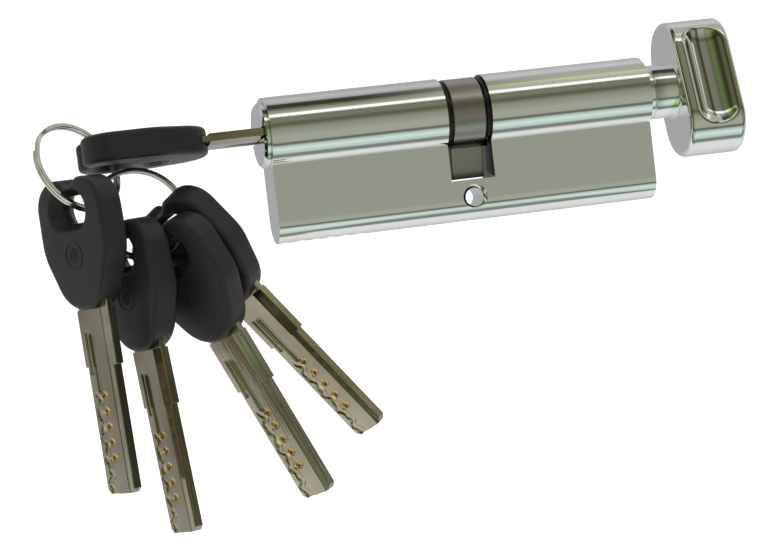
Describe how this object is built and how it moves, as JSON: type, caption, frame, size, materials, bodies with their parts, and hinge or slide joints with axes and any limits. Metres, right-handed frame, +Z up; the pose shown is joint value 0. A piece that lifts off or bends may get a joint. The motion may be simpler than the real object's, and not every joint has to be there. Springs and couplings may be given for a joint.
{
  "type": "euro profile cylinder",
  "caption": "Euro profile door cylinder, keyed on one side with a thumbturn on the other, its dimple keys hanging on two linked split rings.",
  "frame": {"origin": "on the plug's axis, in the plane of the cam's middle and the fixing screw", "axes": "+X along the plug's axis towards the thumbturn, +Z up with the web hanging down"},
  "size_m": [0.1646, 0.034, 0.0997],
  "materials": {
    "plated_body": "polished nickel plate",
    "plated_knob": "polished nickel plate",
    "brass": "turned",
    "spring_steel": "drawn wire",
    "hard_steel": "hardened, dark",
    "black_steel": "blackened sintered steel",
    "key_metal": "nickel plated brass blank",
    "key_plastic": "moulded, fine matte grain",
    "ring_steel": "nickel plated spring wire"
  },
  "bodies": {
    "body": {"body": "plated_body", "driver_pins": "brass", "pin_springs": "spring_steel", "chamber_plugs": "brass", "anti_drill_pins": "hard_steel"},
    "plug": {"plug": "plated_body", "plug_clip": "hard_steel", "key_pins": "brass", "clutch": "spring_steel", "clutch_push_rod": "spring_steel", "clutch_spring": "spring_steel"},
    "cam": {"cam": "black_steel"},
    "thumbturn": {"spindle": "plated_body", "spindle_clip": "hard_steel", "knob": "plated_knob", "knob_screw": "hard_steel"},
    "key_in_plug": {"blade_in_plug": "key_metal", "head_in_plug": "key_plastic"},
    "split_ring_1": {"split_ring_1": "ring_steel"},
    "key_a": {"blade_a": "key_metal", "head_a": "key_plastic"},
    "split_ring_2": {"split_ring_2": "ring_steel"},
    "key_b": {"blade_b": "key_metal", "head_b": "key_plastic"},
    "key_c": {"blade_c": "key_metal", "head_c": "key_plastic"},
    "key_d": {"blade_d": "key_metal", "head_d": "key_plastic"}
  },
  "joints": [
    {"name": "plug_turn", "type": "hinge", "parent": "body", "child": "plug", "pos_m": [0, 0, 0], "axis": [1, 0, 0], "continuous": true},
    {"name": "cam_turn", "type": "hinge", "parent": "body", "child": "cam", "pos_m": [0, 0, 0], "axis": [1, 0, 0], "continuous": true},
    {"name": "knob_turn", "type": "hinge", "parent": "body", "child": "thumbturn", "pos_m": [0, 0, 0], "axis": [1, 0, 0], "continuous": true},
    {"name": "key_slide", "type": "slide", "parent": "plug", "child": "key_in_plug", "axis": [-1, 0, 0], "range_m": [0, 0.028]},
    {"name": "ring_1_swing", "type": "hinge", "parent": "key_in_plug", "child": "split_ring_1", "pos_m": [-0.0814, 0.0016, -0.0002], "axis": [-0.09, 0.095, 0.9914], "range_deg": [-30, 30]},
    {"name": "key_a_swing", "type": "hinge", "parent": "split_ring_1", "child": "key_a", "pos_m": [-0.0906, -0.011, -0.0109], "axis": [-0.556, 0.664, 0.5], "range_deg": [-3, 35]},
    {"name": "ring_2_swing", "type": "hinge", "parent": "split_ring_1", "child": "split_ring_2", "pos_m": [-0.0839, -0.0039, -0.0067], "axis": [-0.68, 0.194, 0.707], "range_deg": [-20, 1.5]},
    {"name": "key_b_swing", "type": "hinge", "parent": "split_ring_2", "child": "key_b", "pos_m": [-0.0804, -0.0099, -0.0229], "axis": [0.6709, -0.635, 0.383], "range_deg": [-6, 1.5]},
    {"name": "key_c_swing", "type": "hinge", "parent": "split_ring_2", "child": "key_c", "pos_m": [-0.0724, -0.0086, -0.0231], "axis": [0.7689, -0.195, 0.6089], "range_deg": [-4, 8]},
    {"name": "key_d_swing", "type": "hinge", "parent": "split_ring_2", "child": "key_d", "pos_m": [-0.0671, -0.0055, -0.0178], "axis": [0.7929, -0.023, 0.6089], "range_deg": [-4, 7]}
  ],
  "couplings": [
    {"joint": "cam_turn", "follows": "plug_turn", "ratio": 1}
  ]
}
